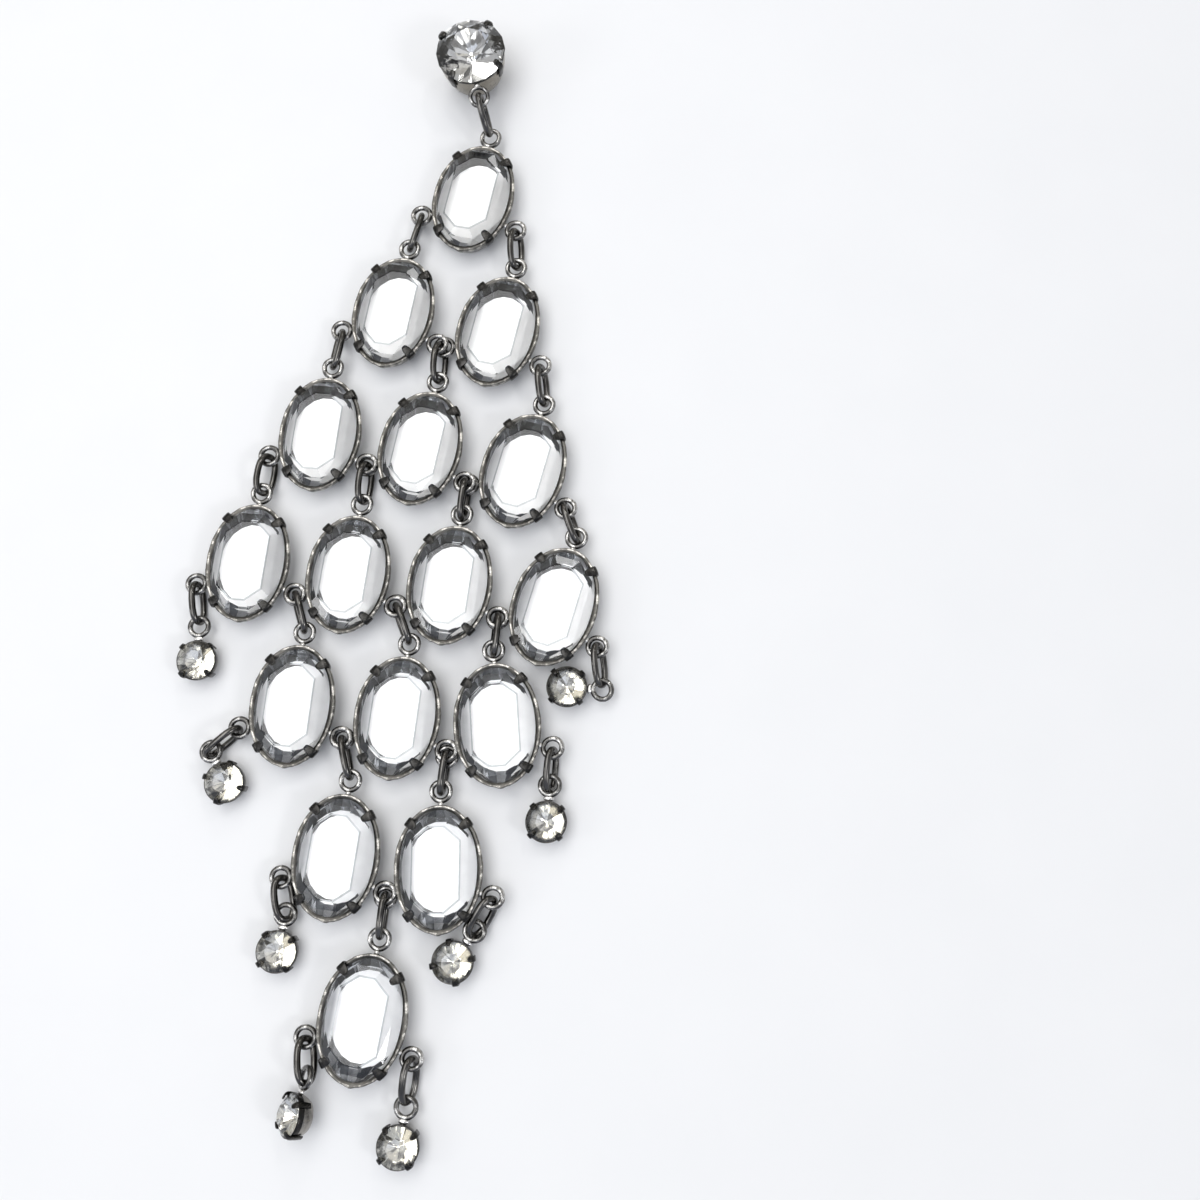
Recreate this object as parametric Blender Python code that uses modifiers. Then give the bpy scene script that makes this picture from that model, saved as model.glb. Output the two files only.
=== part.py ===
"""A chandelier earring that lies face up on a flat surface.

A round stud carries seven rows of oval stones in open-backed settings, with 1, 2, 3, 4, 3, 2 and 1
stones, and small round drops hang at both ends of the four lower rows. The stud is at the +Y end, the
rows run along X, and the surface is at z = 0. Neighbours in a row lap their side loops over each
other, and the link of the next row's stone goes through both.
"""
import math

import bmesh
import bpy
from mathutils import Matrix, Vector

# Sizes, in metres

STONE_WIDTH = 0.0110
STONE_LENGTH = 0.0160
STONE_CROWN = 0.0014
STONE_GIRDLE = 0.0004
STONE_PAVILION = 0.0022
STONE_BASE_SHARE = 0.72
STONE_GAP = 0.00008

FRAME_WALL = 0.0003
FRAME_LEDGE = 0.0009
FRAME_HEIGHT = 0.0028
FRAME_FOOT_INSET = 0.0009
LEDGE_GAP = 0.0003

PRONG_ANGLE = 47
PRONG_WIDTH = 0.0010
PRONG_DEPTH = 0.0004
PRONG_RISE = 0.0005

LOOP_WIDTH = 0.00315
LOOP_WIRE = 0.0006
LOOP_NECK = 0.0003
LOOP_HEIGHT = 0.0018
LOOP_LAP_GAP = 0.00014
SIDE_LOOP_ANGLE = 22
NECK_WIDTH = 0.0008

LINK_LENGTH = 0.0063
LINK_WIDTH = 0.0035
LINK_WIRE = 0.0008
LINK_GAP = 0.00005
LINK_ROUNDNESS = 2.5
LAP_SLIDE = 0.0006
LAP_SLIDE_FROM = 0.3

STUD_STONE_DIAMETER = 0.0096
STUD_STONE_CROWN = 0.0019
STUD_STONE_PAVILION = 0.0032
STUD_WALL = 0.0003
STUD_CUP_HEIGHT = 0.0058
STUD_CUP_FLOOR = 0.0005
STUD_FOOT_DIAMETER = 0.0072
STUD_LOOP_DROP = 0.0012
STUD_LOOP_TURN = 10
STUD_LOOP_DROOP = 25
STUD_LINK_HEAD_RISE = 0.0004
STUD_LINK_FOOT_RISE = 0.0011

CLIP_SHEET = 0.0004
CLIP_OPENING = 0.0003
CLIP_WIDTH = 0.0050
CLIP_LENGTH = 0.0070
CLIP_SET_BACK = 0.0014
CLIP_GAP = 0.0001

DROP_STONE_DIAMETER = 0.0051
DROP_STONE_CROWN = 0.0010
DROP_WALL = 0.0003
DROP_CUP_HEIGHT = 0.0026
DROP_FOOT_DIAMETER = 0.0042
DROP_NECK = 0.0004
DROP_LOOP_HEIGHT = 0.0017
DROP_JOIN_SINK = 0.00008

# Layout. Angles are whole degrees seen from above.
# turn: direction of the row's first link from straight towards -Y, + towards +X.
# reach: how far its links are pulled out, from 0 as slack as they go to 1 taut.
# leans: how far the top of each oval leans towards +X.
# laps, dips: how far each left loop lies past its neighbour's right loop, along and down from the row,
# as shares of a loop's width.
# rolls: how far each link of the row is turned up about its own length, 0 is lying flat.

ROWS = (
    dict(turn=15, reach=0.73, leans=(13,), laps=(), dips=(), rolls=(78,)),
    dict(turn=-16, reach=0.64, leans=(11, 14), laps=(0.30,), dips=(0,), rolls=(-70, 60)),
    dict(turn=-10, reach=0.73, leans=(7, 12, 16), laps=(-0.03, 0.12), dips=(0, 0), rolls=(-60, 63, 70)),
    dict(turn=-7, reach=0.64, leans=(7, 8, 8, 17), laps=(-0.03, -0.03, -0.03), dips=(0, -0.08, 0.02),
         rolls=(50, 65, 82, 75)),
    dict(turn=16, reach=0.61, leans=(6, 7, -4), laps=(0.04, 0.0), dips=(0.04, 0.24), rolls=(-68, -72, -75)),
    dict(turn=13, reach=0.70, leans=(8, 0), laps=(0.0,), dips=(0.20,), rolls=(90, 88)),
    dict(turn=-6, reach=0.61, leans=(10,), laps=(), dips=(), rolls=(90,)),
)

# side: -1 is the row's -X end. turn, reach, roll: of the drop's link, as above.
# hang: direction of the round drop from its own loop, as turn.
# facing: how far the drop is rolled over its side about its own length.

DROPS = (
    dict(row=4, side=-1, turn=7, reach=0.82, roll=76, hang=1, facing=0),
    dict(row=4, side=1, turn=6, reach=0.70, roll=65, hang=-95, facing=0),
    dict(row=5, side=-1, turn=-50, reach=0.29, roll=78, hang=28, facing=0),
    dict(row=5, side=1, turn=-5, reach=0.32, roll=70, hang=-5, facing=0),
    dict(row=6, side=-1, turn=10, reach=0.26, roll=46, hang=-10, facing=0),
    dict(row=6, side=1, turn=-30, reach=0.32, roll=52, hang=-35, facing=0),
    dict(row=7, side=-1, turn=6, reach=0.29, roll=54, hang=-15, facing=50),
    dict(row=7, side=1, turn=-7, reach=0.82, roll=63, hang=-10, facing=0),
)

# How fine the round shapes are

OVAL_SIDES = 16
LOOP_SIDES = 8
WIRE_SIDES = 5
LINK_POINTS = 14
ROUND_SIDES = 16
DROP_SIDES = 10

# Sizes worked out from the ones above

FRAME_HALF_WIDTH = STONE_WIDTH / 2 + STONE_GAP + FRAME_WALL
FRAME_HALF_LENGTH = STONE_LENGTH / 2 + STONE_GAP + FRAME_WALL
GIRDLE_BOTTOM = FRAME_HEIGHT - STONE_GIRDLE
LEDGE_TOP = GIRDLE_BOTTOM - LEDGE_GAP
LOOP_RADIUS = (LOOP_WIDTH - LOOP_WIRE) / 2
LOOP_REACH = LOOP_WIDTH / 2 + LOOP_NECK
TAUT_HALF_SPAN = LINK_LENGTH / 2 - LINK_WIRE + LOOP_RADIUS - LOOP_WIRE / 2
TAUT_SPAN = 2 * (TAUT_HALF_SPAN - LINK_GAP)
SLACK_SPAN = LINK_LENGTH - 2 * LOOP_RADIUS + LOOP_WIRE
STUD_HEIGHT = 2 * CLIP_SHEET + CLIP_OPENING + CLIP_GAP
STUD_RIM_RADIUS = STUD_STONE_DIAMETER / 2 + STONE_GAP + STUD_WALL
DROP_RIM_RADIUS = DROP_STONE_DIAMETER / 2 + DROP_WALL
UP = Vector((0, 0, 1))


def clear_scene():
    for old in list(bpy.data.objects):
        bpy.data.objects.remove(old, do_unlink=True)


def make_material(name, colour, roughness, metallic, transmission=0.0):
    material = bpy.data.materials.new(name)
    material.use_nodes = True
    shader = material.node_tree.nodes["Principled BSDF"]
    shader.inputs["Base Color"].default_value = (*colour, 1)
    shader.inputs["Roughness"].default_value = roughness
    shader.inputs["Metallic"].default_value = metallic
    shader.inputs["Transmission Weight"].default_value = transmission
    return material


def mesh_from(name, shape):
    """A mesh made of a bmesh, with its faces pointing out."""
    bmesh.ops.recalc_face_normals(shape, faces=shape.faces)
    mesh = bpy.data.meshes.new(name)
    shape.to_mesh(mesh)
    shape.free()
    return mesh


def moved(mesh, matrix):
    """A copy of a mesh, moved."""
    copy = mesh.copy()
    copy.transform(matrix)
    return copy


def union(name, meshes):
    """One mesh that joins overlapping closed meshes."""
    objects = [bpy.data.objects.new(name, mesh) for mesh in meshes]
    for item in objects:
        bpy.context.scene.collection.objects.link(item)
    base = objects[0]
    for tool in objects[1:]:
        join = base.modifiers.new("join", "BOOLEAN")
        join.operation = "UNION"
        join.solver = "EXACT"
        join.object = tool
    bpy.context.view_layer.update()
    evaluated = base.evaluated_get(bpy.context.evaluated_depsgraph_get())
    mesh = bpy.data.meshes.new_from_object(evaluated)
    mesh.name = name
    for item in objects:
        bpy.data.objects.remove(item, do_unlink=True)
    return mesh


def oval_loft(name, sections, hollow):
    """Ovals of the given half width, half length and height, joined one after the other.

    A hollow loft joins the last oval to the first. A solid one is capped at both ends.
    """
    shape = bmesh.new()
    turns = [2 * math.pi * i / OVAL_SIDES for i in range(OVAL_SIDES)]
    rings = []
    for half_width, half_length, height in sections:
        rings.append([shape.verts.new((half_width * math.cos(turn), half_length * math.sin(turn), height))
                      for turn in turns])
    pairs = list(zip(rings, rings[1:]))
    if hollow:
        pairs.append((rings[-1], rings[0]))
    else:
        shape.faces.new(rings[0])
        shape.faces.new(rings[-1])
    for lower, upper in pairs:
        for i in range(OVAL_SIDES):
            shape.faces.new((lower[i - 1], lower[i], upper[i], upper[i - 1]))
    return mesh_from(name, shape)


def turned(name, profile, sides):
    """A turned solid of a profile that runs from the axis at the bottom round to the axis at the top."""
    outline = bpy.data.meshes.new(name)
    points = [(radius, 0, height) for radius, height in profile]
    outline.from_pydata(points, [(i, i + 1) for i in range(len(points) - 1)], [])
    item = bpy.data.objects.new(name, outline)
    bpy.context.scene.collection.objects.link(item)
    screw = item.modifiers.new("turn", "SCREW")
    screw.steps = sides
    screw.render_steps = sides
    screw.use_merge_vertices = True
    screw.merge_threshold = 0.00001
    bpy.context.view_layer.update()
    evaluated = item.evaluated_get(bpy.context.evaluated_depsgraph_get())
    mesh = bpy.data.meshes.new_from_object(evaluated)
    bpy.data.objects.remove(item, do_unlink=True)
    shape = bmesh.new()
    shape.from_mesh(mesh)
    bmesh.ops.remove_doubles(shape, verts=shape.verts, dist=0.00001)
    return mesh_from(name, shape)


def loop_mesh():
    """A round wire loop, flat around its own centre."""
    bpy.ops.mesh.primitive_torus_add(major_segments=LOOP_SIDES, minor_segments=WIRE_SIDES,
                                     major_radius=LOOP_RADIUS, minor_radius=LOOP_WIRE / 2)
    item = bpy.context.object
    mesh = item.data
    bpy.data.objects.remove(item, do_unlink=True)
    return mesh


def box_mesh(name, size, matrix):
    shape = bmesh.new()
    bmesh.ops.create_cube(shape, size=1)
    bmesh.ops.scale(shape, vec=size, verts=shape.verts)
    mesh = mesh_from(name, shape)
    mesh.transform(matrix)
    return mesh


def link_mesh():
    """An oval wire link, flat, its length along Y."""
    curve = bpy.data.curves.new("link", "CURVE")
    curve.dimensions = "3D"
    curve.bevel_depth = LINK_WIRE / 2
    curve.bevel_resolution = 1
    spline = curve.splines.new("POLY")
    spline.use_cyclic_u = True
    spline.points.add(LINK_POINTS - 1)
    power = 2 / LINK_ROUNDNESS
    for i, point in enumerate(spline.points):
        angle = 2 * math.pi * (i + 0.5) / LINK_POINTS
        across = math.copysign(abs(math.cos(angle)) ** power, math.cos(angle))
        along = math.copysign(abs(math.sin(angle)) ** power, math.sin(angle))
        half_width = (LINK_WIDTH - LINK_WIRE) / 2
        half_length = (LINK_LENGTH - LINK_WIRE) / 2
        point.co = (across * half_width, along * half_length, 0, 1)
    item = bpy.data.objects.new("link", curve)
    bpy.context.scene.collection.objects.link(item)
    bpy.context.view_layer.update()
    evaluated = item.evaluated_get(bpy.context.evaluated_depsgraph_get())
    mesh = bpy.data.meshes.new_from_object(evaluated)
    bpy.data.objects.remove(item, do_unlink=True)
    shape = bmesh.new()
    shape.from_mesh(mesh)
    bmesh.ops.remove_doubles(shape, verts=shape.verts, dist=0.000001)
    return mesh_from("link", shape)


def oval_edge(angle):
    """The point on the oval frame's outer edge at an angle, and the way straight out from it."""
    angle = math.radians(angle)
    edge = Vector((FRAME_HALF_WIDTH * math.cos(angle), FRAME_HALF_LENGTH * math.sin(angle), 0))
    out = Vector((math.cos(angle) / FRAME_HALF_WIDTH, math.sin(angle) / FRAME_HALF_LENGTH, 0))
    return edge, out.normalized()


def oval_loop(angle):
    """The centre of a loop on the oval frame, in the setting's own frame."""
    edge, out = oval_edge(angle)
    return edge + out * LOOP_REACH + UP * LOOP_HEIGHT


TOP_LOOP = oval_loop(90)
RIGHT_LOOP = oval_loop(-SIDE_LOOP_ANGLE)
LEFT_LOOP = oval_loop(180 + SIDE_LOOP_ANGLE)

# Every oval is raised a little at its +X side, so its right loop clears the left loop below it.
OVAL_ROLL = math.asin((LOOP_WIRE + LOOP_LAP_GAP) / (RIGHT_LOOP.x - LEFT_LOOP.x))


def oval_stone_mesh():
    half_width = STONE_WIDTH / 2
    half_length = STONE_LENGTH / 2
    table = (0.60, 0.68)
    return oval_loft("oval_stone", (
        (half_width * STONE_BASE_SHARE, half_length * STONE_BASE_SHARE, GIRDLE_BOTTOM - STONE_PAVILION),
        (half_width, half_length, GIRDLE_BOTTOM),
        (half_width, half_length, FRAME_HEIGHT),
        (half_width * table[0], half_length * table[1], FRAME_HEIGHT + STONE_CROWN)), hollow=False)


def oval_setting_mesh():
    """An open-backed oval frame with its ledge, four prongs and three loops, all soldered."""
    def section(offset, height):
        return STONE_WIDTH / 2 + offset, STONE_LENGTH / 2 + offset, height

    outer = STONE_GAP + FRAME_WALL
    pavilion_fall = STONE_PAVILION / (STONE_WIDTH / 2 * (1 - STONE_BASE_SHARE))
    ledge_edge = LEDGE_TOP - FRAME_LEDGE * pavilion_fall
    frame = oval_loft("oval_setting", (
        section(outer - FRAME_FOOT_INSET, 0),
        section(outer, LEDGE_TOP),
        section(outer, FRAME_HEIGHT),
        section(STONE_GAP, FRAME_HEIGHT),
        section(STONE_GAP, LEDGE_TOP),
        section(-FRAME_LEDGE, ledge_edge),
        section(-FRAME_LEDGE, 0)), hollow=True)
    pieces = [frame]
    loop = loop_mesh()
    for angle in (90, -SIDE_LOOP_ANGLE, 180 + SIDE_LOOP_ANGLE):
        edge, out = oval_edge(angle)
        pieces.append(moved(loop, Matrix.Translation(oval_loop(angle))))
        taper = FRAME_FOOT_INSET * (1 - LOOP_HEIGHT / LEDGE_TOP)
        reach = FRAME_WALL + LOOP_NECK + LOOP_WIRE + taper
        middle = edge + out * (reach / 2 - FRAME_WALL * 0.8 - taper) + UP * LOOP_HEIGHT
        place = Matrix.Translation(middle) @ out.to_track_quat("X", "Z").to_matrix().to_4x4()
        pieces.append(box_mesh("neck", (reach, NECK_WIDTH, LOOP_WIRE * 0.8), place))
    for angle in (PRONG_ANGLE, 180 - PRONG_ANGLE, 180 + PRONG_ANGLE, -PRONG_ANGLE):
        edge, out = oval_edge(angle)
        height = PRONG_RISE * 2.4
        middle = edge + UP * (FRAME_HEIGHT + PRONG_RISE - height / 2)
        place = Matrix.Translation(middle) @ out.to_track_quat("X", "Z").to_matrix().to_4x4()
        pieces.append(box_mesh("prong", (PRONG_DEPTH, PRONG_WIDTH, height), place))
    return union("oval_setting", pieces)


def flat_frame(down, roll):
    """Axes of a link or drop: Y runs back along its direction, turned up about Y by roll degrees."""
    along = -down.normalized()
    across = along.cross(UP).normalized()
    axes = Matrix((across, along, across.cross(along))).transposed().to_4x4()
    return axes @ Matrix.Rotation(math.radians(roll), 4, "Y")


def way(turn):
    """The level direction that lies turn degrees from -Y, + towards +X."""
    return Vector((math.sin(math.radians(turn)), -math.cos(math.radians(turn)), 0))


def oval_pose(lean, loop, target):
    """Where an oval lies, so that one of its loops comes over or under a target point."""
    turn = Matrix.Rotation(-math.radians(lean), 4, "Z") @ Matrix.Rotation(-OVAL_ROLL, 4, "Y")
    at = target - (turn @ loop)
    foot_half_width = FRAME_HALF_WIDTH - FRAME_FOOT_INSET
    at.z = foot_half_width * math.sin(OVAL_ROLL)
    return Matrix.Translation(at) @ turn


def next_loop(start, turn, reach, height):
    """The place of a loop at a height, one link away from the start."""
    span = SLACK_SPAN + (TAUT_SPAN - SLACK_SPAN) * reach
    level = math.sqrt(span ** 2 - (start.z - height) ** 2)
    place = start + way(turn) * level
    place.z = height
    return place


def lay_rows(start):
    """Poses of the ovals, row by row, and the two ends and the roll of the link above each."""
    top_height = (oval_pose(0, TOP_LOOP, Vector()) @ TOP_LOOP).z
    hangers = [(start, False)]
    rows = []
    for row in ROWS:
        if len(hangers) > len(row["leans"]):
            hangers = hangers[1:-1]
        target = next_loop(hangers[0][0], row["turn"], row["reach"], top_height)
        poses = [oval_pose(row["leans"][0], TOP_LOOP, target)]
        for lean, before, lap, dip in zip(row["leans"][1:], row["leans"], row["laps"], row["dips"]):
            middle_lean = (lean + before) / 2
            past = (way(90 - middle_lean) * lap + way(-middle_lean) * dip) * LOOP_WIDTH
            poses.append(oval_pose(lean, LEFT_LOOP, poses[-1] @ RIGHT_LOOP + past))
        links = [[hanger, pose @ TOP_LOOP, roll, lapped]
                 for (hanger, lapped), pose, roll in zip(hangers, poses, row["rolls"])]
        rows.append(dict(poses=poses, links=links))
        hangers = [(poses[0] @ LEFT_LOOP, False)]
        for one, other in zip(poses, poses[1:]):
            hangers.append(((one @ RIGHT_LOOP + other @ LEFT_LOOP) / 2, True))
        hangers.append((poses[-1] @ RIGHT_LOOP, False))

    # The first link slopes down from the stud, so it rides high in both its loops.
    stud_link = rows[0]["links"][0]
    stud_link[0] = stud_link[0] + UP * STUD_LINK_HEAD_RISE
    stud_link[1] = stud_link[1] + UP * STUD_LINK_FOOT_RISE
    return rows


def link_pose(top, bottom, roll, lapped):
    """Where a link lies between two loops. In a lapped pair it sits further up, the more it is pulled."""
    down = bottom - top
    pull = (down.length - SLACK_SPAN) / (TAUT_SPAN - SLACK_SPAN)
    slide = LAP_SLIDE * max(0, pull - LAP_SLIDE_FROM) if lapped else 0
    return Matrix.Translation((top + bottom) / 2 - down.normalized() * slide) @ flat_frame(down, roll)


# The round stud

def stud_loop_place():
    out = way(STUD_LOOP_TURN)
    place = out * (STUD_RIM_RADIUS + LOOP_WIDTH / 2)
    return place + UP * (STUD_HEIGHT + STUD_CUP_HEIGHT - STUD_LOOP_DROP)


def stud_setting_mesh():
    """A deep cup, closed at its back, with four prongs and a drooping loop."""
    inner = STUD_RIM_RADIUS - STUD_WALL
    foot = STUD_FOOT_DIAMETER / 2
    shoulder = STUD_CUP_HEIGHT * 0.35
    cup = turned("stud_setting", (
        (0, 0),
        (foot, 0),
        (foot + (STUD_RIM_RADIUS - foot) * 0.7, shoulder),
        (STUD_RIM_RADIUS, STUD_CUP_HEIGHT),
        (inner, STUD_CUP_HEIGHT),
        (inner, STUD_CUP_HEIGHT - STUD_STONE_PAVILION * 0.4),
        (foot - STUD_WALL, STUD_CUP_FLOOR),
        (0, STUD_CUP_FLOOR)), ROUND_SIDES)
    pieces = [cup]
    droop = Matrix.Rotation(math.radians(STUD_LOOP_DROOP), 4, "X")
    place = stud_loop_place() - UP * STUD_HEIGHT
    heading = Matrix.Rotation(math.radians(STUD_LOOP_TURN), 4, "Z")
    pieces.append(moved(loop_mesh(), Matrix.Translation(place) @ heading @ droop))
    wire_at = place.xy.length - LOOP_RADIUS * math.cos(math.radians(STUD_LOOP_DROOP))
    wall_at = STUD_RIM_RADIUS - STUD_WALL * 0.7
    neck = way(STUD_LOOP_TURN) * (wire_at + wall_at) / 2
    neck.z = place.z + LOOP_RADIUS * math.sin(math.radians(STUD_LOOP_DROOP))
    size = (NECK_WIDTH, wire_at - wall_at, LOOP_WIRE * 0.8)
    pieces.append(box_mesh("neck", size, Matrix.Translation(neck) @ heading))
    for quarter in range(4):
        angle = math.radians(PRONG_ANGLE + 90 * quarter)
        out = Vector((math.cos(angle), math.sin(angle), 0))
        height = PRONG_RISE * 2.6
        middle = out * (STUD_RIM_RADIUS - PRONG_DEPTH * 0.2) + UP * (STUD_CUP_HEIGHT + PRONG_RISE - height / 2)
        place = Matrix.Translation(middle) @ out.to_track_quat("X", "Z").to_matrix().to_4x4()
        pieces.append(box_mesh("prong", (PRONG_DEPTH, PRONG_WIDTH * 1.2, height), place))
    return union("stud_setting", pieces)


def stud_stone_mesh():
    radius = STUD_STONE_DIAMETER / 2
    girdle = STUD_CUP_HEIGHT - STUD_WALL
    return turned("stud_stone", (
        (0, girdle - STUD_STONE_PAVILION),
        (radius * 0.12, girdle - STUD_STONE_PAVILION),
        (radius, girdle),
        (radius, STUD_CUP_HEIGHT),
        (radius * 0.55, STUD_CUP_HEIGHT + STUD_STONE_CROWN),
        (0, STUD_CUP_HEIGHT + STUD_STONE_CROWN)), ROUND_SIDES)


def clip_mesh():
    """The closed ear clip: a strip bent back under itself, its paddle flat on the surface."""
    bend_steps = 6
    half_sheet = CLIP_SHEET / 2
    bend_radius = (CLIP_OPENING + CLIP_SHEET) / 2
    middle_height = CLIP_SHEET + CLIP_OPENING / 2
    tip = CLIP_LENGTH / 2
    bend_at = bend_radius + half_sheet - CLIP_LENGTH / 2
    outer = [(tip, middle_height + bend_radius + half_sheet)]
    inner = [(tip, middle_height + bend_radius - half_sheet)]
    for step in range(bend_steps + 1):
        angle = math.pi * (0.5 + step / bend_steps)
        for side, radius in ((outer, bend_radius + half_sheet), (inner, bend_radius - half_sheet)):
            side.append((bend_at + radius * math.cos(angle), middle_height + radius * math.sin(angle)))
    outer.append((tip, middle_height - bend_radius - half_sheet))
    inner.append((tip, middle_height - bend_radius + half_sheet))
    outline = outer + inner[::-1]
    curve = bpy.data.curves.new("stud_clip", "CURVE")
    curve.dimensions = "2D"
    curve.fill_mode = "BOTH"
    curve.extrude = CLIP_WIDTH / 2
    spline = curve.splines.new("POLY")
    spline.use_cyclic_u = True
    spline.points.add(len(outline) - 1)
    for point, (along, height) in zip(spline.points, outline):
        point.co = (along, height, 0, 1)
    item = bpy.data.objects.new("stud_clip", curve)
    bpy.context.scene.collection.objects.link(item)
    bpy.context.view_layer.update()
    evaluated = item.evaluated_get(bpy.context.evaluated_depsgraph_get())
    mesh = bpy.data.meshes.new_from_object(evaluated)
    bpy.data.objects.remove(item, do_unlink=True)
    stand_up = Matrix.Rotation(math.radians(90), 4, "Z") @ Matrix.Rotation(math.radians(90), 4, "X")
    mesh.transform(stand_up)
    shape = bmesh.new()
    shape.from_mesh(mesh)
    bmesh.ops.remove_doubles(shape, verts=shape.verts, dist=0.000001)
    return mesh_from("stud_clip", shape)


# The small round drops

DROP_LOOP = Vector((0, DROP_RIM_RADIUS + LOOP_WIDTH / 2 + DROP_NECK, DROP_LOOP_HEIGHT))
DROP_PROFILE = (
    (0, 0),
    (DROP_FOOT_DIAMETER / 2, 0),
    (DROP_RIM_RADIUS, DROP_CUP_HEIGHT * 0.4),
    (DROP_RIM_RADIUS, DROP_CUP_HEIGHT),
    (DROP_STONE_DIAMETER / 2, DROP_CUP_HEIGHT),
    (DROP_STONE_DIAMETER * 0.28, DROP_CUP_HEIGHT + DROP_STONE_CROWN),
    (0, DROP_CUP_HEIGHT + DROP_STONE_CROWN))


def drop_turn(drop):
    return flat_frame(way(drop["hang"]), -drop["facing"])


def drop_rest_height(drop):
    """How high a drop's origin is when it rests on its lowest point."""
    facing = math.radians(drop["facing"])
    return max(radius * math.sin(facing) - height * math.cos(facing) for radius, height in DROP_PROFILE)


def drop_poses(drop, start):
    """Where a drop and its link lie."""
    turn = drop_turn(drop)
    loop = turn @ DROP_LOOP
    rest = drop_rest_height(drop)
    place = next_loop(start, drop["turn"], drop["reach"], loop.z + rest)
    at = place - loop
    down = (place - start).normalized()
    pulled = TAUT_HALF_SPAN + DROP_JOIN_SINK
    pushed = LINK_LENGTH / 2 - LOOP_RADIUS + LOOP_WIRE / 2 - DROP_JOIN_SINK
    gap_when_pulled = (place - start).length - pulled
    from_loop = pulled if gap_when_pulled > pushed else pushed
    link = Matrix.Translation(place - down * from_loop) @ flat_frame(down, drop["roll"])
    return Matrix.Translation(at) @ turn, link


def drop_mesh(name, pose, link_at, link):
    """A drop's cup, stone, loop and link, joined to one solid in the drop's own frame."""
    pieces = [turned(name, DROP_PROFILE, DROP_SIDES)]
    pieces.append(moved(loop_mesh(), Matrix.Translation(DROP_LOOP)))
    reach = DROP_NECK + DROP_WALL + LOOP_WIRE
    middle = Vector((0, DROP_RIM_RADIUS - DROP_WALL + reach / 2, DROP_LOOP_HEIGHT))
    pieces.append(box_mesh("neck", (NECK_WIDTH, reach, LOOP_WIRE * 0.8), Matrix.Translation(middle)))
    pieces.append(moved(link, pose.inverted() @ link_at))
    return union(name, pieces)


def build():
    clear_scene()
    collection = bpy.data.collections.new("chandelier_earring")
    bpy.context.scene.collection.children.link(collection)
    metal = make_material("dark_silver", (0.30, 0.29, 0.27), 0.3, 1.0)
    glass = make_material("clear_glass", (0.93, 0.95, 0.97), 0.03, 0.0, 0.8)
    foiled = make_material("foiled_glass", (0.75, 0.78, 0.82), 0.08, 0.6)

    root = bpy.data.objects.new("earring_place", None)
    collection.objects.link(root)

    def add(name, mesh, material, pose):
        item = bpy.data.objects.new(name, mesh)
        if not mesh.materials:
            mesh.materials.append(material)
        collection.objects.link(item)
        item.parent = root
        item.matrix_local = pose
        return item

    heading = Matrix.Rotation(math.radians(STUD_LOOP_TURN), 4, "Z")
    clip_at = heading @ Matrix.Translation((0, CLIP_SET_BACK, 0))
    items = [
        add("stud_setting", stud_setting_mesh(), metal, Matrix.Translation(UP * STUD_HEIGHT)),
        add("stud_stone", stud_stone_mesh(), foiled, Matrix.Translation(UP * STUD_HEIGHT)),
        add("stud_clip", clip_mesh(), metal, clip_at)]

    setting = oval_setting_mesh()
    stone = oval_stone_mesh()
    link = link_mesh()
    rows = lay_rows(stud_loop_place())
    number = 0
    for row in rows:
        for pose, link_ends in zip(row["poses"], row["links"]):
            number += 1
            items.append(add(f"link_{number:02d}", link, metal, link_pose(*link_ends)))
            items.append(add(f"oval_setting_{number:02d}", setting, metal, pose))
            items.append(add(f"oval_stone_{number:02d}", stone, glass, pose))

    for number, drop in enumerate(DROPS, 1):
        poses = rows[drop["row"] - 1]["poses"]
        start = poses[0] @ LEFT_LOOP if drop["side"] < 0 else poses[-1] @ RIGHT_LOOP
        pose, link_at = drop_poses(drop, start)
        name = f"drop_{number:02d}"
        items.append(add(name, drop_mesh(name, pose, link_at, link), metal, pose))

    bpy.context.view_layer.update()
    corners = [item.matrix_world @ vert.co for item in items for vert in item.data.vertices]
    low = Vector([min(corner[axis] for corner in corners) for axis in range(3)])
    high = Vector([max(corner[axis] for corner in corners) for axis in range(3)])
    root.location = (-(low.x + high.x) / 2, -(low.y + high.y) / 2, -low.z)
    for item in items:
        item.data.shade_smooth()
        item.data.set_sharp_from_angle(angle=math.radians(35))


build()
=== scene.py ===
"""Looks of a chandelier earring that lies face up on a pale surface.

Every shape is drawn in millimetres in its own frame, as in the model, and scaled once when it is placed.
"""
import math

import bmesh
import bpy
import numpy as np
from mathutils import Matrix, Vector


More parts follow.
